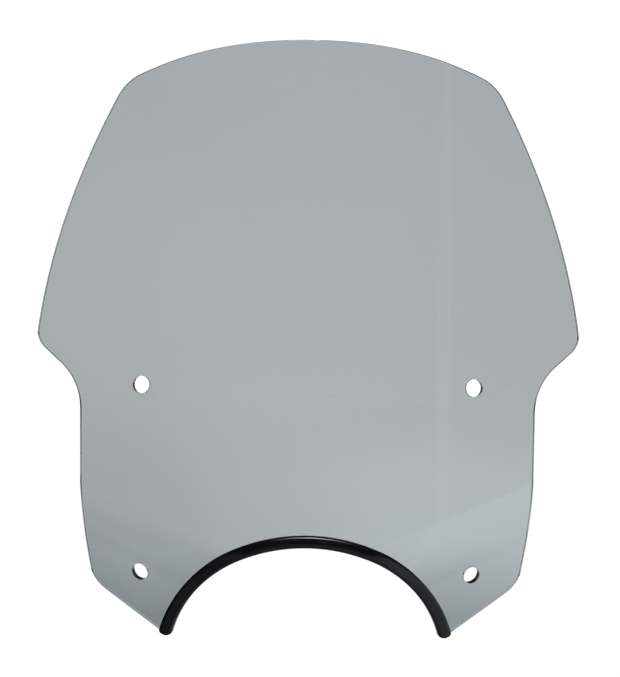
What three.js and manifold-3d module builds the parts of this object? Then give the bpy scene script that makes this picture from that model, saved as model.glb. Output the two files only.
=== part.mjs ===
// Windshield screen for a motorcycle, in millimetres, +Z up.
//
// The object is two pieces: a smoke-tinted acrylic screen, formed from flat sheet, and a black
// rubber trim pushed over the edge of its headlight cut-out. The outer, convex face looks along -Y.
// The origin is on that face, on the centre line, midway between the upper and lower fixing holes.
//
// Both pieces are laid out flat, in x and z, with a depth that runs from the outer face into the
// sheet. One function, formed(), then gives both of them the curve of the screen.

import * as THREE from 'three';
import { mergeVertices } from 'three/addons/utils/BufferGeometryUtils.js';
import Module from 'manifold-3d';

const wasm = await Module();
wasm.setup();

// ---------------------------------------------------------------- driving dimensions

const SHEET = 4.5;              // thickness of the acrylic
const GAP = 0.4;                // clearance between the trim and the screen

const BARREL_RADIUS = 410;      // the screen's main curve, about a vertical axis
const SWEEP_ANGLE = 24;         // how far the two lower legs are swept back, in degrees
const SWEEP_BAND = 45;          // width of the rounded bend that sweeps them back
const SWEEP_START_X = 64;       // a point where that bend starts, beside the cut-out
const SWEEP_START_Z = -51;
const SWEEP_RISE = 23;          // the bend's line climbs outward at this angle, in degrees

const HOLE_SPACING_X = 269.2;   // fixing holes, centre to centre, seen from the front
const HOLE_SPACING_Z = 152;
const HOLE_RADIUS = 7.1;
const LAND_RADIUS = 20.5;       // the sheet is formed flat this far round each hole
const LAND_FADE = 44;           // and has its full curve again from here

// The headlight cut-out is an arch of one wide arc and two tighter ones, each given by its radius
// at the sheet's cut edge. The tighter arcs take over at SHOULDER_ANGLE from the top.
const CROWN_Z = -51.4;
const CROWN_RADIUS = 140;
const SHOULDER_RADIUS = 100;
const SHOULDER_ANGLE = 22;
const ARCH_END_ANGLE = 70.1;    // where the arch's edge runs into the leg's rounded corner

const TRIM_END_ANGLE = 74.8;    // the trim is cut off here, just past the screen's corner
const TRIM_COVER = 8.2;         // how far the trim reaches up each face of the screen
const TRIM_WEB = 2;             // from the cut edge to the trim's outer edge
const TRIM_HALF_WIDTH = 3.95;   // half the trim's width across the sheet
const TRIM_WALL = 1.05;         // thickness of its two sides
const TRIM_ROUND = 2.6;         // rounding of its outer edges
const TRIM_LIP = 0.5;           // rounding of its lips
const TRIM_LIP_LENGTH = 1.6;    // the thick part of each lip
const TRIM_TAPER = 2.5;         // the outside slopes in to the lip over this length
const FIN_POSITIONS = [2.2, 4.6];   // grip fins, measured up from the cut edge
const FIN_BASE = 0.7;           // width of each fin where it leaves the trim's side
const FIN_RISE = 0.9;           // each fin leans up by this much

// Half of the outline, from the top centre clockwise to the cut-out: x, z, and the heading of the
// edge there in degrees below +X. Between two points the edge is one smooth curve.
const HALF_OUTLINE = [
  [0, 353.6, 0],            // top centre
  [95, 342.2, 15],
  [138, 326.6, 24],         // top corner starts
  [156.5, 309.3, 61.5],     // top corner ends
  [222.2, 120, 82],         // wing tip starts
  [215.4, 104.2, 139.5],    // wing tip ends
  [203.6, 94, 140],         // notch under the wing starts
  [185.3, 56, 90.5],        // notch ends in the waist
  [184.8, 4, 90.5],
  [181.4, -40, 96.5],       // the leg drifts inward
  [176, -75.5, 100],        // lower corner starts
  [170.5, -86, 128],
  [158.4, -96, 144.8],      // lower corner ends
  [118.8, -124, 144.8],     // foot of the leg, then its rounded corner
  [109.03, -120.26, 250.1],
];

// How finely the curves are faceted.
const OUTLINE_STEP = 8;         // longest stretch between points along a curved edge
const OUTLINE_TURN = 9;         // and the most that the edge turns between them, in degrees
const GRID_X = HOLE_SPACING_X / 20; // spacing of the points inside the sheet, which leaves one
const GRID_Z = HOLE_SPACING_Z / 12; // at the middle of each fixing hole
const HOLE_SIDES = 40;
const TRIM_STATIONS = 46;
const MERGE_DISTANCE = 0.01;    // points of the trim's section that lie closer are one point

// What the cutting solids need: a slight dish that keeps the blank's grid of points while the sheet
// is cut, and lengths that pass right through it.
const BLANK_DISH = 2e-4;
const OUTLINE_CUTTER_DEPTH = 200;
const HOLE_CUTTER_LENGTH = 5 * SHEET;

// ---------------------------------------------------------------- the formed surface

const degrees = THREE.MathUtils.degToRad;
const sweepSlope = Math.tan(degrees(SWEEP_ANGLE));
const sweepOut = Math.sin(degrees(SWEEP_RISE));
const sweepDown = Math.cos(degrees(SWEEP_RISE));

// How far a point lies past the line where the legs begin to bend back.
function pastSweepLine(x, z) {
  return (Math.abs(x) - SWEEP_START_X) * sweepOut + (SWEEP_START_Z - z) * sweepDown;
}

// Depth of the curved outer face behind its centre line.
function curvedDepth(x, z) {
  const barrel = BARREL_RADIUS - Math.sqrt(BARREL_RADIUS ** 2 - x ** 2);
  const past = Math.max(0, pastSweepLine(x, z));
  const bent = Math.min(past, SWEEP_BAND);
  return barrel + sweepSlope * (bent ** 2 / (2 * SWEEP_BAND) + past - bent);
}

// How fast a depth function grows along x and along z.
function slopes(depth, x, z) {
  const h = 0.01;
  return [
    (depth(x + h, z) - depth(x - h, z)) / (2 * h),
    (depth(x, z + h) - depth(x, z - h)) / (2 * h),
  ];
}

const fixingHoles = [];
for (const x of [-HOLE_SPACING_X / 2, HOLE_SPACING_X / 2]) {
  for (const z of [-HOLE_SPACING_Z / 2, HOLE_SPACING_Z / 2]) {
    fixingHoles.push({ x, z, depth: curvedDepth(x, z), slopes: slopes(curvedDepth, x, z) });
  }
}

// Depth of the outer face, which is the curved one but for a flat land round each fixing hole.
function faceDepth(x, z) {
  let depth = curvedDepth(x, z);
  for (const hole of fixingHoles) {
    const [alongX, alongZ] = hole.slopes;
    const land = hole.depth + alongX * (x - hole.x) + alongZ * (z - hole.z);
    const distance = Math.hypot(x - hole.x, z - hole.z);
    const curved = THREE.MathUtils.smootherstep(distance, LAND_RADIUS, LAND_FADE);
    depth += (land - depth) * (1 - curved);
  }
  return depth;
}

// Unit normal of the outer face, pointing into the sheet.
function inward(x, z) {
  const [alongX, alongZ] = slopes(faceDepth, x, z);
  return new THREE.Vector3(-alongX, 1, -alongZ).normalize();
}

// The place of a point laid out flat at x and z, at a depth below the outer face.
function formed(x, z, depth) {
  const place = new THREE.Vector3(x, faceDepth(x, z), z);
  return place.addScaledVector(inward(x, z), depth);
}

// ---------------------------------------------------------------- solids and meshes

function solidFrom(geometry) {
  const bare = geometry.clone();
  bare.deleteAttribute('normal');
  bare.deleteAttribute('uv');
  const merged = mergeVertices(bare, 1e-4);
  const vertProperties = new Float32Array(merged.attributes.position.array);
  const triVerts = new Uint32Array(merged.index.array);
  return new wasm.Manifold(new wasm.Mesh({ numProp: 3, vertProperties, triVerts }));
}

function geometryFrom(solid) {
  const mesh = solid.getMesh();
  const geometry = new THREE.BufferGeometry();
  geometry.setAttribute('position', new THREE.BufferAttribute(mesh.vertProperties, 3));
  geometry.setIndex(new THREE.BufferAttribute(mesh.triVerts, 1));
  return geometry;
}

// Runs a function on every point of a geometry, and stores what it gives back.
function eachPoint(geometry, change) {
  const position = geometry.attributes.position;
  const point = new THREE.Vector3();
  for (let i = 0; i < position.count; i += 1) {
    point.fromBufferAttribute(position, i);
    const moved = change(point);
    position.setXYZ(i, moved.x, moved.y, moved.z);
  }
  return geometry;
}

function namedMesh(name, geometry, material) {
  const shaded = geometry.toNonIndexed();
  shaded.computeVertexNormals();
  const mesh = new THREE.Mesh(shaded, material);
  mesh.name = name;
  return mesh;
}

// ---------------------------------------------------------------- the cut-out's arch

const crownCentreZ = CROWN_Z - CROWN_RADIUS;
const shoulderShift = CROWN_RADIUS - SHOULDER_RADIUS;
const shoulderCentreX = shoulderShift * Math.sin(degrees(SHOULDER_ANGLE));
const shoulderCentreZ = crownCentreZ + shoulderShift * Math.cos(degrees(SHOULDER_ANGLE));

// A point at an angle from the top of the arch (negative on the left), and at a distance from the
// sheet's cut edge (positive towards the sheet).
function archPoint(angle, distance) {
  const side = Math.sign(angle) || 1;
  const turn = degrees(Math.abs(angle));
  const onShoulder = Math.abs(angle) > SHOULDER_ANGLE;
  const radius = (onShoulder ? SHOULDER_RADIUS : CROWN_RADIUS) + distance;
  const centreX = onShoulder ? shoulderCentreX : 0;
  const centreZ = onShoulder ? shoulderCentreZ : crownCentreZ;
  return new THREE.Vector2(
    side * (centreX + radius * Math.sin(turn)),
    centreZ + radius * Math.cos(turn),
  );
}

// ---------------------------------------------------------------- the screen

// The curve between two outline points, with handles as long as a circular arc would need.
function edgeCurve([x0, z0, heading0], [x1, z1, heading1]) {
  const from = new THREE.Vector2(x0, z0);
  const to = new THREE.Vector2(x1, z1);
  const turn = degrees(heading1 - heading0);
  const handle = from.distanceTo(to) / (3 * Math.cos(turn / 4) ** 2);
  const ahead = (heading) => new THREE.Vector2(
    Math.cos(degrees(heading)),
    -Math.sin(degrees(heading)),
  );
  return new THREE.CubicBezierCurve(
    from,
    from.clone().addScaledVector(ahead(heading0), handle),
    to.clone().addScaledVector(ahead(heading1), -handle),
    to,
  );
}

function screenOutline() {
  const right = [];
  for (let i = 1; i < HALF_OUTLINE.length; i += 1) {
    const curve = edgeCurve(HALF_OUTLINE[i - 1], HALF_OUTLINE[i]);
    const turn = Math.abs(HALF_OUTLINE[i][2] - HALF_OUTLINE[i - 1][2]);
    const curved = Math.max(curve.getLength() / OUTLINE_STEP, turn / OUTLINE_TURN);
    const pieces = turn < 1 ? 1 : Math.ceil(curved);
    right.push(...curve.getPoints(pieces).slice(0, -1));
  }
  const mirrored = right.slice(1).reverse().map((p) => new THREE.Vector2(-p.x, p.y));
  const arch = [];
  const archPieces = 2 * Math.ceil((degrees(ARCH_END_ANGLE) * CROWN_RADIUS) / OUTLINE_STEP);
  for (let i = 0; i <= archPieces; i += 1) {
    arch.push(archPoint(ARCH_END_ANGLE * (1 - (2 * i) / archPieces), 0));
  }
  return [...right, ...arch, ...mirrored];
}

// The sheet cut to its outline. The blank is slightly dished while it is cut, which keeps its grid
// of points, and forming then puts every point exactly on the outer or the inner face.
function formedSheet() {
  const outline = screenOutline();
  const box = new THREE.Box2().setFromPoints(outline);
  const columns = 2 * Math.ceil(box.max.x / GRID_X);
  const rowsUp = Math.ceil(box.max.y / GRID_Z);
  const rowsDown = Math.ceil(-box.min.y / GRID_Z);
  const rows = rowsUp + rowsDown;
  const dish = (x, z) => BLANK_DISH * (x ** 2 + z ** 2);

  const blank = new THREE.BoxGeometry(columns * GRID_X, SHEET, rows * GRID_Z, columns, 1, rows);
  blank.translate(0, SHEET / 2, ((rowsUp - rowsDown) * GRID_Z) / 2);
  eachPoint(blank, (p) => p.setY(p.y + dish(p.x, p.z)));

  const cutter = new THREE.ExtrudeGeometry(new THREE.Shape(outline), {
    depth: OUTLINE_CUTTER_DEPTH,
    bevelEnabled: false,
  });
  cutter.rotateX(Math.PI / 2);
  cutter.translate(0, OUTLINE_CUTTER_DEPTH / 2, 0);

  const sheet = geometryFrom(solidFrom(blank).intersect(solidFrom(cutter)));
  return eachPoint(sheet, (p) => {
    const onInnerFace = p.y - dish(p.x, p.z) > SHEET / 2;
    return formed(p.x, p.z, onInnerFace ? SHEET : 0);
  });
}

// A round bar that stands square through the sheet where a fixing hole goes.
function holeCutter({ x, z }) {
  const bar = new THREE.CylinderGeometry(
    HOLE_RADIUS,
    HOLE_RADIUS,
    HOLE_CUTTER_LENGTH,
    HOLE_SIDES,
  );
  const upright = new THREE.Vector3(0, 1, 0);
  bar.applyQuaternion(new THREE.Quaternion().setFromUnitVectors(upright, inward(x, z)));
  const middle = formed(x, z, SHEET / 2);
  bar.translate(middle.x, middle.y, middle.z);
  return solidFrom(bar);
}

function screenPanel() {
  let solid = solidFrom(formedSheet());
  for (const hole of fixingHoles) {
    solid = solid.subtract(holeCutter(hole));
  }
  return geometryFrom(solid);
}

// ---------------------------------------------------------------- the trim

// Section of the trim, as [distance up from the cut edge, distance across from mid-sheet]. It is a
// U with a rounded back, rounded lips that lean in to the sheet, and two grip fins on each side.
function trimSection() {
  const face = SHEET / 2 + GAP;
  const wall = TRIM_HALF_WIDTH - TRIM_WALL;
  const half = new THREE.Path();
  half.moveTo(-TRIM_WEB, 0);
  half.lineTo(-TRIM_WEB, TRIM_HALF_WIDTH - TRIM_ROUND);
  half.absarc(
    TRIM_ROUND - TRIM_WEB,
    TRIM_HALF_WIDTH - TRIM_ROUND,
    TRIM_ROUND,
    Math.PI,
    Math.PI / 2,
    true,
  );
  half.lineTo(TRIM_COVER - TRIM_TAPER, TRIM_HALF_WIDTH);
  half.quadraticCurveTo(TRIM_COVER, TRIM_HALF_WIDTH, TRIM_COVER, face + TRIM_LIP);
  half.quadraticCurveTo(TRIM_COVER, face, TRIM_COVER - TRIM_LIP, face);
  half.lineTo(TRIM_COVER - TRIM_LIP_LENGTH, wall);
  for (const up of [...FIN_POSITIONS].reverse()) {
    half.lineTo(up + FIN_BASE, wall);
    half.lineTo(up + FIN_RISE, face);
    half.lineTo(up, wall);
  }
  half.lineTo(-GAP, wall);
  const near = (p, q) => q !== undefined && p.distanceTo(q) < MERGE_DISTANCE;
  const points = half.getPoints(2).filter((p, i, all) => !near(p, all[i - 1]));
  const otherHalf = points.slice(1).reverse().map((p) => new THREE.Vector2(p.x, -p.y));
  const section = [...points, ...otherHalf];
  return THREE.ShapeUtils.isClockWise(section) ? section.reverse() : section;
}

function trimGeometry() {
  const section = trimSection();
  const places = [];
  for (let i = 0; i <= TRIM_STATIONS; i += 1) {
    const angle = TRIM_END_ANGLE * ((2 * i) / TRIM_STATIONS - 1);
    for (const { x: up, y: across } of section) {
      const flat = archPoint(angle, up);
      places.push(formed(flat.x, flat.y, SHEET / 2 + across));
    }
  }
  const count = section.length;
  const faces = [];
  for (let i = 0; i < TRIM_STATIONS; i += 1) {
    for (let j = 0; j < count; j += 1) {
      const a = i * count + j;
      const b = i * count + ((j + 1) % count);
      faces.push(a, a + count, b, b, a + count, b + count);
    }
  }
  const last = TRIM_STATIONS * count;
  for (const [a, b, c] of THREE.ShapeUtils.triangulateShape(section, [])) {
    faces.push(a, b, c, last + a, last + c, last + b);
  }
  const geometry = new THREE.BufferGeometry().setFromPoints(places);
  geometry.setIndex(faces);
  return geometry;
}

// ---------------------------------------------------------------- the assembly

const smokeAcrylic = new THREE.MeshStandardMaterial({
  color: 0x6f7778,
  roughness: 0.06,
  metalness: 0,
  transparent: true,
  opacity: 0.45,
});

const blackRubber = new THREE.MeshStandardMaterial({
  color: 0x101113,
  roughness: 0.42,
  metalness: 0,
});

const windshield = new THREE.Group();
windshield.add(namedMesh('screen_panel', screenPanel(), smokeAcrylic));
windshield.add(namedMesh('headlight_cutout_trim', trimGeometry(), blackRubber));

export default windshield;
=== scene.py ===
"""Windshield screen: a smoke-tinted acrylic sheet with rubber trim on its headlight cut-out.

The sheet and the trim are laid out flat, in x and z, with a depth that runs into the sheet from its
outer face, and formed() gives both the curve of the screen. Lengths are in millimetres until a mesh
is made, and MM turns them into metres there.
"""

import math

import bmesh
import bpy
import numpy as np
from mathutils import Matrix
from mathutils.geometry import delaunay_2d_cdt


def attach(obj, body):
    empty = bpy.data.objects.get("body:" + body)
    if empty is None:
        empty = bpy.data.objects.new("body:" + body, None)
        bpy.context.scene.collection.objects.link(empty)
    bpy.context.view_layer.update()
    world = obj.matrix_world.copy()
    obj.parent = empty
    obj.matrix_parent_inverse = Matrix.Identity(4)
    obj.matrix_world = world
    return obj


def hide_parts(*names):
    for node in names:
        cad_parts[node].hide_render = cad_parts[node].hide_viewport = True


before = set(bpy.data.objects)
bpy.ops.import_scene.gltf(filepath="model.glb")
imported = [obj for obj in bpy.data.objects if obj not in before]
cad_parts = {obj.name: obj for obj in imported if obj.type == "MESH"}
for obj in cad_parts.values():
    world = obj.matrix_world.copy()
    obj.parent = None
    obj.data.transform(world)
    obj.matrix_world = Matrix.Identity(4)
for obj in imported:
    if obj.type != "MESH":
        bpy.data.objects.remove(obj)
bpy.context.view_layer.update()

MM = 0.001

# ---------------------------------------------------------------- the screen's dimensions

SHEET = 4.5                     # its thickness
BARREL_RADIUS = 410.0           # the main curve, about a vertical axis
SWEEP_ANGLE = 24.0              # how far the two lower legs are swept back, in degrees
SWEEP_BAND = 45.0               # width of the rounded bend that sweeps them back
SWEEP_START = (64.0, -51.0)     # a point where that bend starts, beside the cut-out
SWEEP_RISE = 23.0               # the bend's line climbs outward at this angle, in degrees

HOLES = [(x, z) for x in (-134.6, 134.6) for z in (-76.0, 76.0)]
HOLE_RADIUS = 7.1

# The cut-out's arch: one wide arc, and two tighter ones from SHOULDER_ANGLE on. Angles are in
# degrees from its top, CROWN_Z.
CROWN_Z = -51.4
CROWN_RADIUS = 140.0
SHOULDER_RADIUS = 100.0
SHOULDER_ANGLE = 22.0
ARCH_END_ANGLE = 70.1           # where it meets the last point of the outline below

# Half of the outline from the top centre to the cut-out: x, z, and the edge's heading there in
# degrees below +X.
HALF_OUTLINE = [
    (0, 353.6, 0),
    (95, 342.2, 15),
    (138, 326.6, 24),
    (156.5, 309.3, 61.5),
    (222.2, 120, 82),
    (215.4, 104.2, 139.5),
    (203.6, 94, 140),
    (185.3, 56, 90.5),
    (184.8, 4, 90.5),
    (181.4, -40, 96.5),
    (176, -75.5, 100),
    (170.5, -86, 128),
    (158.4, -96, 144.8),
    (118.8, -124, 144.8),
    (109.03, -120.26, 250.1),
]

EDGE_ROUND = 0.5                # rounding of the sheet's routed edge
HOLE_ROUND = 0.3                # and of the holes' rims
EDGE_INSET = 0.05               # keeps the smooth edge inside the faceted solid's box
LEAST_STEPS = 3                 # a curve is drawn in at least this many steps
ROUND_STEPS = 5
OUTLINE_STEP = 1.5              # the longest step along the outline
OUTLINE_TURN = 5.0              # and the most that it turns there in a step, in degrees
HOLE_SIDES = 96
GRID = 4.0                      # spacing of the points inside the sheet
GRID_MARGIN = 2.2               # they keep this far from its edges

TRIM_END_ANGLE = 74.8           # the trim runs on past the end of the arch
TRIM_COVER = 8.2                # how far the trim reaches up each face of the screen
TRIM_WEB = 2.0                  # from the cut edge to the trim's outer edge
TRIM_HALF_WIDTH = 3.95
TRIM_WALL = 1.05
TRIM_ROUND = 2.6                # rounding of its back
# The trim's outside, from its back to the lip: arcs that follow on smoothly, each with its radius
# and how far it has turned at its end, in degrees up from square to the sheet.
TRIM_OUTSIDE = [(TRIM_ROUND, 3), (84, 6), (2.2, 20), (27, 22), (0.38, 90)]
TRIM_TURN = 9.0                 # the most that those arcs turn in one step, in degrees
TRIM_LIP_INNER = 0.1            # rounding of the lips' inner corners
TRIM_GAP = 0.4                  # the fins and lips stop this far from the sheet
FIN_SLANT = 0.05                # how much further from the sheet one side of a fin's tip is
CHANNEL_CORNER = 0.3            # size of the small slanted corners at the channel's floor
# Places in the channel, as shares of its depth.
TRIM_FINS = (0.302, 0.581)      # where each grip fin starts
FIN_BASE = 0.081                # how wide a fin is at the wall,
FIN_RISE = 0.105                # how far on the middle of its tip is,
FIN_TIP = 0.007                 # and half the tip's width
LIP_SHARES = (0.809, 0.848)     # the lip's shoulder, then its bearing face

TRIM_END_ROUND = 2.8            # the trim's cut ends have rounded corners
TRIM_END_STEPS = 8
TRIM_STEP = 1.2
TRIM_CREASE = 50.0              # edges that turn more than this, in degrees, look sharp
TRIM_UV_STEP = 0.6              # the section's points are about this far apart, for the UV map

SLOPE_STEP = 0.01               # for slopes worked out from two places
SAME_PLACE = 1e-5               # points closer than this count as one
FILL_HULL = 0                   # fill the whole hull of the points,
FILL_INSIDE = 1                 # or only inside the given edges

# ---------------------------------------------------------------- the formed surface

SWEEP_SLOPE = math.tan(math.radians(SWEEP_ANGLE))
SWEEP_OUT = math.sin(math.radians(SWEEP_RISE))
SWEEP_DOWN = math.cos(math.radians(SWEEP_RISE))


def face_depth(x, z):
    """Depth of the curved outer face behind its centre line."""
    barrel = BARREL_RADIUS - np.sqrt(BARREL_RADIUS**2 - x**2)
    past = (np.abs(x) - SWEEP_START[0]) * SWEEP_OUT + (SWEEP_START[1] - z) * SWEEP_DOWN
    past = np.maximum(past, 0)
    bent = np.minimum(past, SWEEP_BAND)
    return barrel + SWEEP_SLOPE * (bent**2 / (2 * SWEEP_BAND) + past - bent)


def face_slopes(x, z):
    """How fast that depth grows along x and along z."""
    step = SLOPE_STEP
    along_x = (face_depth(x + step, z) - face_depth(x - step, z)) / (2 * step)
    along_z = (face_depth(x, z + step) - face_depth(x, z - step)) / (2 * step)
    return along_x, along_z


def unit(vectors):
    return vectors / np.linalg.norm(vectors, axis=-1, keepdims=True)


def inward(flat):
    """Unit normals of the outer face, pointing into the sheet, at flat points (x, z)."""
    along_x, along_z = face_slopes(flat[:, 0], flat[:, 1])
    return unit(np.stack([-along_x, np.ones(len(flat)), -along_z], axis=1))


def formed(flat, depth):
    """Places of flat points (x, z) at a depth below the outer face."""
    face = np.stack([flat[:, 0], face_depth(flat[:, 0], flat[:, 1]), flat[:, 1]], axis=1)
    return face + inward(flat) * np.reshape(depth, (-1, 1))


# ---------------------------------------------------------------- outlines


def arch_points(angles, distance):
    """Points at angles from the top of the arch, at a distance from the sheet's cut edge."""
    turn = np.radians(np.abs(angles))
    on_shoulder = np.abs(angles) > SHOULDER_ANGLE
    shift = (CROWN_RADIUS - SHOULDER_RADIUS) * on_shoulder
    radius = CROWN_RADIUS - shift + distance
    centre_x = shift * math.sin(math.radians(SHOULDER_ANGLE))
    centre_z = CROWN_Z - CROWN_RADIUS + shift * math.cos(math.radians(SHOULDER_ANGLE))
    side = np.where(angles < 0, -1, 1)
    x = side * (centre_x + radius * np.sin(turn))
    return np.stack([x, centre_z + radius * np.cos(turn)], axis=1)


def edge_curve(start, end):
    """The smooth curve between two outline points, without its last point."""
    first, last = np.array(start[:2], float), np.array(end[:2], float)
    span = np.linalg.norm(last - first)
    turned = end[2] - start[2]
    # With handles of this length the curve is nearly a circle's arc where the headings allow one.
    handle = span / (3 * math.cos(math.radians(turned) / 4) ** 2)
    headings = np.radians([start[2], end[2]])
    leaving, arriving = np.stack([np.cos(headings), -np.sin(headings)], axis=1)
    corners = [first, first + leaving * handle, last - arriving * handle, last]
    by_length, by_turn = math.ceil(span / OUTLINE_STEP), math.ceil(abs(turned) / OUTLINE_TURN)
    pieces = max(LEAST_STEPS, by_length, by_turn)
    t = np.arange(pieces)[:, None] / pieces
    weights = [(1 - t) ** 3, 3 * t * (1 - t) ** 2, 3 * t**2 * (1 - t), t**3]
    return sum(weight * corner for weight, corner in zip(weights, corners))


def screen_outline():
    """The whole outline, clockwise from the top centre as it is seen from in front."""
    right = np.vstack([edge_curve(a, b) for a, b in zip(HALF_OUTLINE, HALF_OUTLINE[1:])])
    length = 2 * math.radians(ARCH_END_ANGLE) * CROWN_RADIUS
    angles = np.linspace(ARCH_END_ANGLE, -ARCH_END_ANGLE, math.ceil(length / OUTLINE_STEP))
    left = right[:0:-1] * [-1, 1]
    return np.vstack([right, arch_points(angles, 0), left])


def side_directions(loop):
    """Unit vectors square to a closed flat loop, to the right of its direction of travel."""
    along = unit(np.roll(loop, -1, axis=0) - np.roll(loop, 1, axis=0))
    return np.stack([along[:, 1], -along[:, 0]], axis=1)


def hole_loop(hole, radius):
    """A round hole's rim on the outer face, square to the sheet there, laid out flat."""
    centre = np.array([hole], float)
    axis = inward(centre)[0]
    across = unit(np.cross([0, 0, 1.0], axis))
    up = np.cross(axis, across)
    turn = np.arange(HOLE_SIDES)[:, None] * 2 * math.pi / HOLE_SIDES
    rim = across * np.cos(turn) + up * np.sin(turn)
    return centre + radius * rim[:, [0, 2]]


# ---------------------------------------------------------------- mesh helpers


def rim_profile(radius):
    """The sheet's edge as (inset, depth, turn), from the outer face round to the inner one. turn is
    the angle between the outer face's normal and the edge's own, in radians."""
    quarter = np.linspace(0, math.pi / 2, ROUND_STEPS + 1)
    front = [(radius * (1 - math.sin(a)), radius * (1 - math.cos(a)), a) for a in quarter]
    back = [(inset, SHEET - depth, math.pi - a) for inset, depth, a in reversed(front)]
    return front + back


def make_object(name, points, faces):
    """A smooth mesh object from points in millimetres, with its faces turned outward."""
    mesh = bpy.data.meshes.new(name)
    mesh.from_pydata((points * MM).tolist(), [], faces)
    mesh.validate()
    edit = bmesh.new()
    edit.from_mesh(mesh)
    bmesh.ops.recalc_face_normals(edit, faces=edit.faces)
    edit.to_mesh(mesh)
    edit.free()
    mesh.shade_smooth()
    piece = bpy.data.objects.new(name, mesh)
    bpy.context.scene.collection.objects.link(piece)
    return piece


# ---------------------------------------------------------------- the acrylic screen


def flat_triangles(loops):
    """Fills the first loop, less the others, with even triangles. The loops' points come first."""
    outline = loops[0]
    low, high = outline.min(axis=0), outline.max(axis=0)
    rows = np.arange(low[1], high[1], GRID * math.sqrt(0.75))
    inside = []
    for number, z in enumerate(rows):
        x = np.arange(low[0], high[0], GRID) + (number % 2) * GRID / 2
        inside.append(np.stack([x, np.full(len(x), z)], axis=1))
    inside = np.vstack(inside)
    inside = inside[on_sheet(inside, loops)]
    for loop in loops:
        distance = np.linalg.norm(inside[:, None] - loop[None], axis=2).min(axis=1)
        inside = inside[distance > GRID_MARGIN]
    points = np.vstack([*loops, inside])
    edges, start = [], 0
    for loop in loops:
        count = len(loop)
        edges += [(start + i, start + (i + 1) % count) for i in range(count)]
        start += count
    filled = delaunay_2d_cdt(points.tolist(), edges, [], FILL_HULL, SAME_PLACE)
    made, _, faces, origin, _, _ = filled
    number = [source[0] for source in origin]
    if len(made) != len(points):
        raise ValueError("the flat layout has points that fall together")
    triangles = np.array([[number[i] for i in face] for face in faces])
    return points, triangles[on_sheet(points[triangles].mean(axis=1), loops)]


def within(points, loop):
    """Which points lie inside a closed loop, by counting the edges that a ray crosses."""
    inside = np.zeros(len(points), bool)
    for (x0, z0), (x1, z1) in zip(loop, np.roll(loop, -1, axis=0)):
        if z0 == z1:
            continue
        spans = (z0 > points[:, 1]) != (z1 > points[:, 1])
        crossing = x0 + (points[:, 1] - z0) * (x1 - x0) / (z1 - z0)
        inside ^= spans & (points[:, 0] < crossing)
    return inside


def on_sheet(points, loops):
    """Which points lie inside the first loop and outside the others."""
    found = within(points, loops[0])
    for loop in loops[1:]:
        found &= ~within(points, loop)
    return found


def screen_mesh():
    """The sheet's points, faces and normals, and how much of a cut edge each point is, 0 to 1."""
    outline = screen_outline()
    to_inside = side_directions(outline)
    edge, rim = rim_profile(EDGE_ROUND), rim_profile(HOLE_ROUND)
    profiles = [edge] + [rim] * len(HOLES)
    edge_loops = [[outline + to_inside * (inset + EDGE_INSET) for inset, _, _ in edge]]
    for hole in HOLES:
        edge_loops.append([hole_loop(hole, HOLE_RADIUS + inset) for inset, _, _ in rim])

    # The two faces of the sheet, each point at the same number in both.
    flat, triangles = flat_triangles([loops[0] for loops in edge_loops])
    count = len(flat)
    into = inward(flat)
    points = [formed(flat, 0), formed(flat, SHEET)]
    normals = [-into, into]
    cut = [np.zeros(2 * count)]
    faces = triangles.tolist() + (triangles[:, ::-1] + count).tolist()

    # The cut edges between them, row by row.
    total, start = 2 * count, 0
    for loops, profile in zip(edge_loops, profiles):
        sides = len(loops[0])
        halfway = len(loops) // 2
        middle = formed(loops[halfway], SHEET / 2)
        along = np.roll(middle, -1, axis=0) - np.roll(middle, 1, axis=0)
        off_sheet = loops[halfway - 1] - loops[0]
        rows = [np.arange(start, start + sides)]
        for loop, (_, depth, turn) in list(zip(loops, profile))[1:-1]:
            face_normal = -inward(loop)
            outward = unit(np.cross(face_normal, along))
            outward *= np.sign((outward[:, [0, 2]] * off_sheet).sum(axis=1))[:, None]
            points.append(formed(loop, depth))
            normals.append(face_normal * math.cos(turn) + outward * math.sin(turn))
            cut.append(np.full(sides, math.sin(turn)))
            rows.append(np.arange(total, total + sides))
            total += sides
        rows.append(np.arange(count + start, count + start + sides))
        for upper, lower in zip(rows, rows[1:]):
            ring = np.stack([upper, np.roll(upper, -1), np.roll(lower, -1), lower], axis=1)
            faces += ring.tolist()
        start += sides
    return np.vstack(points), faces, np.vstack(normals), np.concatenate(cut)


def screen_panel():
    points, faces, normals, cut = screen_mesh()
    piece = make_object("acrylic_screen", points, faces)
    piece.data.normals_split_custom_set_from_vertices(normals.tolist())
    share = piece.data.attributes.new("cut_edge", "FLOAT", "POINT")
    share.data.foreach_set("value", cut.astype(np.float32))
    return piece


# ---------------------------------------------------------------- the rubber trim


def arc(centre, radius, start, end, steps):
    """Points along an arc, between two angles in degrees."""
    turn = np.radians(np.linspace(start, end, steps + 1))
    return [(centre[0] + radius * math.cos(a), centre[1] + radius * math.sin(a)) for a in turn]


def trim_outside():
    """The trim's outer side, from its back round to the top of the lip."""
    up, across, tilt = -TRIM_WEB, TRIM_HALF_WIDTH - TRIM_ROUND, -90
    points = [(up, across)]
    for radius, turned in TRIM_OUTSIDE:
        steps = max(LEAST_STEPS, math.ceil((turned - tilt) / TRIM_TURN))
        centre_up = up - radius * math.sin(math.radians(tilt))
        centre_across = across - radius * math.cos(math.radians(tilt))
        centre = (centre_up, centre_across)
        points += arc(centre, radius, 90 - tilt, 90 - turned, steps)[1:]
        (up, across), tilt = points[-1], turned
    return points


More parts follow.
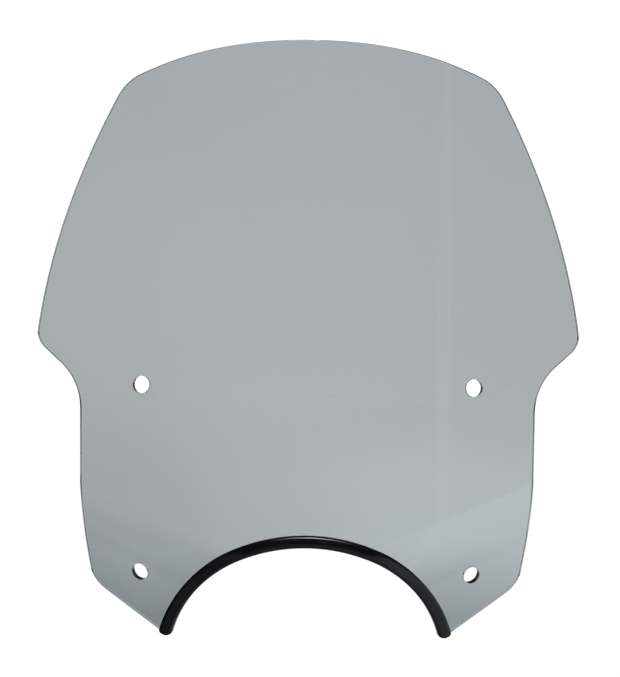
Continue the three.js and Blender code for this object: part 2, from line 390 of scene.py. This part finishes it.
def trim_half_section(bottom, cover):
    """Half of the trim's section: distance up from the cut edge, distance across from mid-sheet.
    bottom is the channel's floor, and cover is how far up the lips reach."""
    face = SHEET / 2 + TRIM_GAP
    wall = TRIM_HALF_WIDTH - TRIM_WALL
    depth = cover - bottom
    back = bottom + TRIM_GAP - TRIM_WEB
    outside = trim_outside()
    reach = (cover - back) / (outside[-1][0] + TRIM_WEB)
    points = [(back, 0.0)]
    points += [(back + (up + TRIM_WEB) * reach, across) for up, across in outside]
    corner = (cover - TRIM_LIP_INNER, face + TRIM_LIP_INNER)
    points += arc(corner, TRIM_LIP_INNER, 0, -90, LEAST_STEPS)
    shoulder, bearing = LIP_SHARES
    points += [(bottom + depth * bearing, face), (bottom + depth * shoulder, wall)]
    for fin in reversed(TRIM_FINS):
        points += [(bottom + depth * (fin + FIN_BASE), wall)]
        points += [(bottom + depth * (fin + FIN_RISE + FIN_TIP), face + FIN_SLANT)]
        points += [(bottom + depth * (fin + FIN_RISE - FIN_TIP), face)]
        points += [(bottom + depth * fin, wall)]
    points += [(bottom + CHANNEL_CORNER, wall), (bottom, wall - CHANNEL_CORNER), (bottom, 0.0)]
    return points


def trim_section(cut_back):
    """The whole section, drawn in by cut_back at the trim's rounded ends."""
    half = trim_half_section(cut_back - TRIM_GAP, TRIM_COVER - cut_back)
    other = [(up, -across) for up, across in half[-2:0:-1]]
    return np.array(half + other)


def trim_angles():
    """Where the trim's sections are, as angles from the top of the arch, closer at its ends."""
    steps = math.ceil(math.radians(TRIM_END_ANGLE) * SHOULDER_RADIUS / TRIM_STEP)
    angles = np.linspace(-TRIM_END_ANGLE, TRIM_END_ANGLE, 2 * steps + 1)
    end = math.degrees(TRIM_END_ROUND / SHOULDER_RADIUS)
    turn = np.linspace(0, math.pi / 2, TRIM_END_STEPS + 1)
    ends = TRIM_END_ANGLE - end * (1 - np.cos(turn))
    angles = angles[np.abs(angles) < TRIM_END_ANGLE - end]
    return np.concatenate([-ends, angles, ends[::-1]])


def trim_mesh(angles):
    """The trim's points and faces, and how many points a section has."""
    points, faces = [], []
    for angle in angles:
        left = math.radians(TRIM_END_ANGLE - abs(angle)) * SHOULDER_RADIUS
        short = max(0.0, TRIM_END_ROUND - left)
        section = trim_section(TRIM_END_ROUND - math.sqrt(TRIM_END_ROUND**2 - short**2))
        flat = arch_points(np.full(len(section), angle), section[:, 0])
        points.append(formed(flat, SHEET / 2 + section[:, 1]))
    count = len(section)
    for i in range(len(angles) - 1):
        row = np.arange(count) + i * count
        ahead = np.roll(row, -1)
        faces += np.stack([row, ahead, ahead + count, row + count], axis=1).tolist()

    # The two ends have the same shape, so one filling does for both.
    last = (len(angles) - 1) * count
    edges = [(i, (i + 1) % count) for i in range(count)]
    filled = delaunay_2d_cdt(section.tolist(), edges, [], FILL_INSIDE, SAME_PLACE)
    _, _, caps, origin, _, _ = filled
    for cap in caps:
        corners = [origin[i][0] for i in cap]
        faces.append(corners)
        faces.append([last + i for i in reversed(corners)])
    return np.vstack(points), faces, count


def rubber_trim():
    angles = trim_angles()
    points, faces, count = trim_mesh(angles)
    piece = make_object("rubber_edge_trim", points, faces)
    mesh = piece.data
    mesh.set_sharp_from_angle(angle=math.radians(TRIM_CREASE))

    # The UV map runs along the trim and round its section, in metres.
    row, ring = np.divmod(np.arange(len(points)), count)
    along = np.radians(angles[row]) * SHOULDER_RADIUS * MM
    places = np.stack([along, ring * TRIM_UV_STEP * MM], axis=1)
    corners = np.empty(len(mesh.loops), np.int32)
    mesh.loops.foreach_get("vertex_index", corners)
    layout = mesh.uv_layers.new(name="along_and_round")
    layout.data.foreach_set("uv", places[corners].astype(np.float32).ravel())
    return piece


# ---------------------------------------------------------------- materials


class Nodes:
    """A short way to write a node tree: each call makes a node and links what it is given."""

    def __init__(self, tree):
        self.tree = tree
        tree.nodes.clear()

    def __call__(self, kind, inputs=None, **settings):
        node = self.tree.nodes.new(kind)
        for name, value in settings.items():
            setattr(node, name, value)
        for name, value in (inputs or {}).items():
            socket = node.inputs[name]
            if isinstance(value, bpy.types.NodeSocket):
                self.tree.links.new(value, socket)
            else:
                socket.default_value = value
        return node

    def noise(self, vector, scale, detail=2.0, roughness=0.5):
        node = self("ShaderNodeTexNoise", {
            "Vector": vector, "Scale": scale, "Detail": detail, "Roughness": roughness,
        })
        return node.outputs["Fac"]

    def between(self, value, low, high, to_low=0.0, to_high=1.0):
        """Maps a value from low..high to to_low..to_high, smoothly, and clamps it."""
        node = self("ShaderNodeMapRange", {
            "Value": value, "From Min": low, "From Max": high, "To Min": to_low, "To Max": to_high,
        }, interpolation_type="SMOOTHSTEP")
        return node.outputs["Result"]

    def band(self, value, middle, full, none):
        """1 within full of the middle value, falling to 0 at none away from it."""
        away = self.math("ABSOLUTE", self.math("SUBTRACT", value, middle))
        return self.between(away, full, none, 1.0, 0.0)

    def scaled(self, colour, share):
        node = self("ShaderNodeVectorMath", {0: colour, "Scale": share}, operation="SCALE")
        return node.outputs[0]

    def math(self, operation, a, b=0.0):
        return self("ShaderNodeMath", {0: a, 1: b}, operation=operation).outputs[0]

    def total(self, first, *others):
        for other in others:
            first = self.math("ADD", first, other)
        return first

    def product(self, first, *others):
        for other in others:
            first = self.math("MULTIPLY", first, other)
        return first

    def mix(self, share, a, b):
        """Mixes two colours. A Mix node has its sockets for colours at these numbers."""
        node = self("ShaderNodeMix", {0: share, 6: a, 7: b}, data_type="RGBA")
        return node.outputs[2]

    def mix_numbers(self, share, a, b):
        node = self("ShaderNodeMix", {0: share, 2: a, 3: b}, data_type="FLOAT")
        return node.outputs[0]


def new_material(name):
    material = bpy.data.materials.new(name)
    material.use_nodes = True
    return material, Nodes(material.node_tree)


# From here on lengths are in metres, and the scales of textures in features to a metre. A pair of
# roughnesses is the least and the most, and any other pair is where a thing starts and where it is
# whole.
WHITE = (1.0, 1.0, 1.0, 1)
NOISE_SPREAD = (0.3, 0.7)       # nearly all of a noise's values lie between these

# The smoke tint: what passes straight through one sheet's thickness, and the density that gives it.
TINT_THROUGH = (0.434, 0.4625, 0.4665)
TINT_DENSITY = 400.0
ACRYLIC_IOR = 1.49
FILM_SCALE = 22.0
FILM_PATCHES = (0.45, 0.72)
FILM_ROUGHNESS = (0.012, 0.055)
SATIN_SCALE = 900.0
SATIN_ROUGHNESS = (0.09, 0.17)
SPECK_SCALE = 26.0
SPECK_SIZE = (0.018, 0.010)     # a speck's rim and its core, as shares of its cell
SPECK_PICKED = (0.90, 0.91)     # nine cells in ten have no speck
SPECK_COLOUR = (0.55, 0.55, 0.55, 1)
CLOUD_SCALE = 9.0
CLOUD_COLOUR = (0.985, 0.985, 0.985, 1)
WAVE_SCALE = 11.0
WAVE_HEIGHT = 0.00012

RUBBER_COLOUR = (0.0014, 0.0015, 0.0020, 1)
DUSTY_COLOUR = (0.0038, 0.0039, 0.0046, 1)
DUSTY_SCALE = 60.0
DUSTY_PATCHES = (0.42, 0.75)
GRAIN_SCALE = 2600.0
GRAIN_SHARE = 0.5               # how high the grain is, beside the drawn streaks
DRAWN_SCALE = (30.0, 1800.0, 1.0)   # along the trim, then round it, by its UV map
DULL_PATCHES = (0.7, 1.3)       # where streaks and dust together make it duller
RUBBER_ROUGHNESS = (0.10, 0.17)
RUBBER_IOR = 1.5
RUBBER_SPECULAR = 0.14
RUBBER_RELIEF = 0.00003


def smoke_acrylic():
    material, add = new_material("smoke_acrylic")
    place = add("ShaderNodeTexCoord").outputs["Object"]
    cut = add("ShaderNodeAttribute", attribute_name="cut_edge").outputs["Fac"]

    # Polished faces carry a faint film of wiped dust, and the routed edges are satin.
    smears = add.noise(place, FILM_SCALE, detail=4.0, roughness=0.62)
    film = add.between(smears, *FILM_PATCHES, *FILM_ROUGHNESS)
    satin = add.between(add.noise(place, SATIN_SCALE), *NOISE_SPREAD, *SATIN_ROUGHNESS)
    roughness = add.mix_numbers(cut, film, satin)

    # A few specks of dust, and a tint that varies by a hair.
    cells = add("ShaderNodeTexVoronoi", {"Vector": place, "Scale": SPECK_SCALE})
    speck = add.between(cells.outputs["Distance"], *SPECK_SIZE)
    picked = add.between(add.math("FRACT", cells.outputs["Position"]), *SPECK_PICKED)
    cloud = add.between(add.noise(place, CLOUD_SCALE), *NOISE_SPREAD)
    clear = add.mix(cloud, CLOUD_COLOUR, WHITE)
    colour = add.mix(add.product(speck, picked), clear, SPECK_COLOUR)

    # The slow waves that heat forming leaves in a sheet.
    waves = add("ShaderNodeBump", {
        "Strength": 1.0,
        "Distance": WAVE_HEIGHT,
        "Height": add.noise(place, WAVE_SCALE, detail=1.0, roughness=0.4),
    }).outputs["Normal"]

    surface = add("ShaderNodeBsdfPrincipled", {
        "Base Color": colour,
        "Roughness": roughness,
        "IOR": ACRYLIC_IOR,
        "Transmission Weight": 1.0,
        "Normal": waves,
    })
    thickness = SHEET * MM
    tint = [1 + math.log(share) / (thickness * TINT_DENSITY) for share in TINT_THROUGH]
    inside = add("ShaderNodeVolumeAbsorption", {"Color": (*tint, 1), "Density": TINT_DENSITY})
    add("ShaderNodeOutputMaterial", {
        "Surface": surface.outputs[0], "Volume": inside.outputs[0],
    })
    return material


def black_rubber():
    material, add = new_material("black_rubber")
    place = add("ShaderNodeTexCoord").outputs
    grain = add.noise(place["Object"], GRAIN_SCALE, detail=3.0, roughness=0.6)
    stretched = add("ShaderNodeMapping", {"Vector": place["UV"], "Scale": DRAWN_SCALE})
    drawn = add.noise(stretched.outputs["Vector"], 1.0, detail=3.0, roughness=0.55)
    dusty = add.noise(place["Object"], DUSTY_SCALE, detail=4.0, roughness=0.6)
    colour = add.mix(add.between(dusty, *DUSTY_PATCHES), RUBBER_COLOUR, DUSTY_COLOUR)
    roughness = add.between(add.total(drawn, dusty), *DULL_PATCHES, *RUBBER_ROUGHNESS)
    bump = add("ShaderNodeBump", {
        "Strength": 0.5,
        "Distance": RUBBER_RELIEF,
        "Height": add.total(add.product(grain, GRAIN_SHARE), drawn),
    }).outputs["Normal"]
    surface = add("ShaderNodeBsdfPrincipled", {
        "Base Color": colour,
        "Roughness": roughness,
        "IOR": RUBBER_IOR,
        "Specular IOR Level": RUBBER_SPECULAR,
        "Normal": bump,
    })
    add("ShaderNodeOutputMaterial", {"Surface": surface.outputs[0]})
    return material


# ---------------------------------------------------------------- the studio

CAMERA_PLACE = (0.0014, -2.5, 0.1146)
CAMERA_ROLL = 0.64              # degrees
SENSOR_WIDTH = 36.0
PICTURE_HEIGHT = 0.5412         # what the picture's height takes in at the origin
VIEW_END = 200.0

FLOOR_Z = -0.35
FLOOR_SIZE = 60.0
FLOOR_WHITE = 0.87              # how much of the light the floor gives back
FLOOR_SEEN = (0.9, 0.9, 0.9, 1)     # its colour where the camera sees it directly
# Painted shade: how bright the floor's colour is where it is seen through the sheet, by one over
# the distance from the origin, so that it is darker near the screen. Where it is darker it is
# cooler.
FLOOR_LEVELS = [
    (0.04, 1.0), (0.10, 0.94), (0.225, 0.85), (0.36, 0.535), (0.45, 0.58), (0.8, 0.9),
]
FLOOR_COOLNESS = 0.1
FLOOR_FADE = (0.036, 0.060)     # far away it fades into the white room, by the same measure
# Painted light: its right side is brighter, past a line that runs away from the point x = 0 at this
# y. The first pair is x over the distance from there, and the second is as in FLOOR_LEVELS.
FLOOR_FAN_Y = -2.5
FLOOR_FAN = (-0.05, 0.05)
FLOOR_FAN_NEAR = (0.05, 0.14)
FLOOR_FAN_PAINTED_LIGHT = 0.17

# The room. Things in it are placed by the parts x, y and z of the direction to them. A pair is
# where a thing starts and where it is whole, and a row of four adds the levels there. A band is its
# middle, its half width, and the half width at which it has faded out.
BLACK = (0.0, 0.0, 0.0, 1)
ROOM_WHITE = (1.15, 1.15, 1.15, 1)  # what the camera and dull surfaces see
CEILING = (0.02, 0.09)
CEILING_COLOUR = (0.93, 0.945, 0.975, 1)
FLAGS = (0.50, 0.78)            # dark flags at the sides, which the sheet's edges show
FLAGS_SHADE = 0.88
FLAGS_TOP = (0.10, 0.34, 1.0, 0.1)

AHEAD = (0.35, 0.10)            # what is in front of the screen, by y
TABLE_COLOUR = (0.89, 1.0, 1.07)
TABLE_BELOW = (0.005, -0.030)   # the table starts at the horizon
TABLE_FAR = (-0.70, -0.20)      # its far half, by x
TABLE_FAR_LEVEL = 0.67
TABLE_NEAR = (-0.55, 0.35)      # its near half, by x,
TABLE_NEAR_SHIFT = (-0.04, -0.07, 0.0, 0.25)    # which starts further right lower down
TABLE_NEAR_BELOW = (-0.042, -0.085)
TABLE_NEAR_DIM = (-0.10, -0.28, 0.84, 1.03)     # it is a little dimmer at its far side,
TABLE_NEAR_LEVEL = (-0.47, -0.64, 1.38, 0.64)   # and much dimmer close by
TABLE_LINE = (-0.078, 0.006, 0.016)     # a bright line between the halves
TABLE_LINE_LEVEL = 0.22

LEFT_BELOW = (-0.045, -0.080)   # the left of the near half, by z,
LEFT_DROP = (-0.74, -0.88, 0.0, 0.10)   # whose far edge drops at the very left,
LEFT_SIDE = (-0.20, -0.38)      # and by x
LEFT_END = (-0.15, -0.40, 1.0, 0.0)     # it fades out close by
LEFT_LEVEL = 0.42
PAPER_X = (-0.66, 0.06, 0.17)   # a sheet of white paper on the left, which lies at a slant
PAPER_Z = (-0.06, 0.09, 0.19)
PAPER_SLANT = 0.72
PAPER_LEVEL = 0.64

WALLS = (0.45, 0.85, 0.10, 0.45)
STRIP = (0.55, 0.014, 0.030)
STRIP_LEVEL = 0.35
LAMP_X = (0.045, 0.0, 0.23)
LAMP_Z = (0.34, 0.05, 0.08)
LAMP_LEVEL = 140.0
BEHIND = (0.75, 0.95)           # white behind the screen, by y,
BEHIND_DROP = (-0.05, -0.20, 0.0, 0.28)     # which reaches further round below the horizon


def pale_floor():
    """A plain white floor that fades out far away. Seen through the sheet its colour has painted
    soft shade, darker near the screen, and painted light on its right side.
    """
    half = FLOOR_SIZE / 2
    mesh = bpy.data.meshes.new("floor")
    corners = [(x * half, y * half, FLOOR_Z) for x, y in ((-1, -1), (1, -1), (1, 1), (-1, 1))]
    mesh.from_pydata(corners, [], [(0, 1, 2, 3)])
    floor = bpy.data.objects.new("floor", mesh)
    bpy.context.scene.collection.objects.link(floor)

    material, add = new_material("floor_paper_with_painted_shade")
    place = add("ShaderNodeTexCoord").outputs["Object"]
    distance = add("ShaderNodeVectorMath", {0: place}, operation="LENGTH").outputs["Value"]
    nearness = add.math("DIVIDE", 1.0, distance)
    # The floor's colour through the sheet: painted shade, darker near the screen.
    painted_shade_ramp = add("ShaderNodeValToRGB", {"Fac": nearness})
    elements = painted_shade_ramp.color_ramp.elements
    for number, (at, level) in enumerate(FLOOR_LEVELS):
        stop = elements[number] if number < 2 else elements.new(at)
        stop.position = at
        cool = FLOOR_COOLNESS * (1 - level)
        shades = (FLOOR_WHITE - cool, FLOOR_WHITE, FLOOR_WHITE + cool)
        stop.color = (*(level * shade for shade in shades), 1)

    parts = add("ShaderNodeSeparateXYZ", {"Vector": place}).outputs
    angle = add.math("DIVIDE", parts["X"], add.math("SUBTRACT", parts["Y"], FLOOR_FAN_Y))
    right = add.between(angle, *FLOOR_FAN, to_high=FLOOR_FAN_PAINTED_LIGHT)
    painted_light = add.product(right, add.between(nearness, *FLOOR_FAN_NEAR))
    # Painted shade near the screen, lifted by painted light on the right side, in the floor's
    # colour.
    paper = add.scaled(painted_shade_ramp.outputs["Color"], add.total(1.0, painted_light))
    seen = add("ShaderNodeLightPath").outputs["Is Camera Ray"]
    surface = add("ShaderNodeBsdfDiffuse", {"Color": add.mix(seen, paper, FLOOR_SEEN)})
    clear = add("ShaderNodeBsdfTransparent")
    laid = add.between(nearness, *FLOOR_FADE)
    faded = add("ShaderNodeMixShader", {0: laid, 1: clear.outputs[0], 2: surface.outputs[0]})
    add("ShaderNodeOutputMaterial", {"Surface": faded.outputs[0]})
    mesh.materials.append(material)
    floor.visible_glossy = False


def seen_through(add, x, z):
    """What the sheet lets through: white, with dark flags at the sides, near the horizon."""
    white = add.mix(add.between(z, *CEILING), WHITE, CEILING_COLOUR)
    flags = add.between(add.math("ABSOLUTE", x), *FLAGS, to_high=FLAGS_SHADE)
    return add.mix(add.product(flags, add.between(z, *FLAGS_TOP)), white, BLACK)


def table_level(add, x, z, below):
    """A white table, brighter to the right, with a line across it and a sheet of paper on it."""
    far = add.product(add.between(x, *TABLE_FAR, to_high=TABLE_FAR_LEVEL), below)
    shifted = add.math("SUBTRACT", x, add.between(z, *TABLE_NEAR_SHIFT))
    near = add.product(
        add.between(shifted, *TABLE_NEAR),
        add.between(z, *TABLE_NEAR_BELOW),
        add.between(z, *TABLE_NEAR_LEVEL),
        add.between(z, *TABLE_NEAR_DIM),
    )
    dropped = add.total(z, add.between(x, *LEFT_DROP))
    left = add.product(
        add.between(dropped, *LEFT_BELOW, to_high=LEFT_LEVEL),
        add.between(x, *LEFT_SIDE),
        add.between(z, *LEFT_END),
    )
    slanted = add.math("SUBTRACT", z, add.product(x, PAPER_SLANT))
    paper = add.product(add.band(x, *PAPER_X), add.band(slanted, *PAPER_Z), PAPER_LEVEL)
    line = add.product(add.band(z, *TABLE_LINE), TABLE_LINE_LEVEL)
    return add.product(add.total(far, near, left, paper), add.total(1.0, line))


def reflected(add, x, y, z):
    """What surfaces reflect: the table, walls that are brighter at the sides, one thin strip of
    light, a lamp above the camera, and white behind the screen."""
    ahead = add.between(y, *AHEAD)
    below = add.between(z, *TABLE_BELOW)
    table = add.product(table_level(add, x, z, below), ahead)
    walls = add.between(add.math("ABSOLUTE", x), *WALLS)
    walls = add.product(walls, add.math("SUBTRACT", 1.0, below))
    strip = add.product(add.band(x, *STRIP), STRIP_LEVEL)
    lamp = add.product(add.band(x, *LAMP_X), add.band(z, *LAMP_Z), ahead, LAMP_LEVEL)
    behind = add.between(add.total(y, add.between(z, *BEHIND_DROP)), *BEHIND)
    room = add.scaled(WHITE[:3], add.total(walls, behind, strip, lamp))
    both = add("ShaderNodeVectorMath", {0: room, 1: add.scaled(TABLE_COLOUR, table)})
    return both.outputs[0]


def studio_world():
    """White all round for the camera and for dull surfaces, and a room for the others."""
    world = bpy.data.worlds.new("studio")
    bpy.context.scene.world = world
    world.use_nodes = True
    world.cycles.sampling_method = "NONE"
    add = Nodes(world.node_tree)
    way = add("ShaderNodeTexCoord").outputs["Generated"]
    parts = add("ShaderNodeSeparateXYZ", {"Vector": way}).outputs
    x, y, z = (parts[name] for name in "XYZ")
    path = add("ShaderNodeLightPath").outputs
    room = add.mix(path["Is Transmission Ray"], reflected(add, x, y, z), seen_through(add, x, z))
    plain = add.math("MAXIMUM", path["Is Camera Ray"], path["Is Diffuse Ray"])
    sky = add("ShaderNodeBackground", {"Color": add.mix(plain, room, ROOM_WHITE)})
    add("ShaderNodeOutputWorld", {"Surface": sky.outputs[0]})


def camera():
    data = bpy.data.cameras.new("camera")
    data.sensor_width = SENSOR_WIDTH
    data.lens = SENSOR_WIDTH * abs(CAMERA_PLACE[1]) / PICTURE_HEIGHT
    data.clip_end = VIEW_END
    made = bpy.data.objects.new("camera", data)
    bpy.context.scene.collection.objects.link(made)
    look_ahead = Matrix.Rotation(math.pi / 2, 4, "X")
    roll = Matrix.Rotation(math.radians(CAMERA_ROLL), 4, "Z")
    made.matrix_world = Matrix.Translation(CAMERA_PLACE) @ look_ahead @ roll
    bpy.context.scene.camera = made


# ---------------------------------------------------------------- the scene

bpy.context.scene.view_settings.view_transform = "Standard"
camera()
studio_world()
pale_floor()

screen = screen_panel()
screen.data.materials.append(smoke_acrylic())
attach(screen, "root")
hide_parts("screen_panel")

trim = rubber_trim()
trim.data.materials.append(black_rubber())
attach(trim, "root")
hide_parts("headlight_cutout_trim")
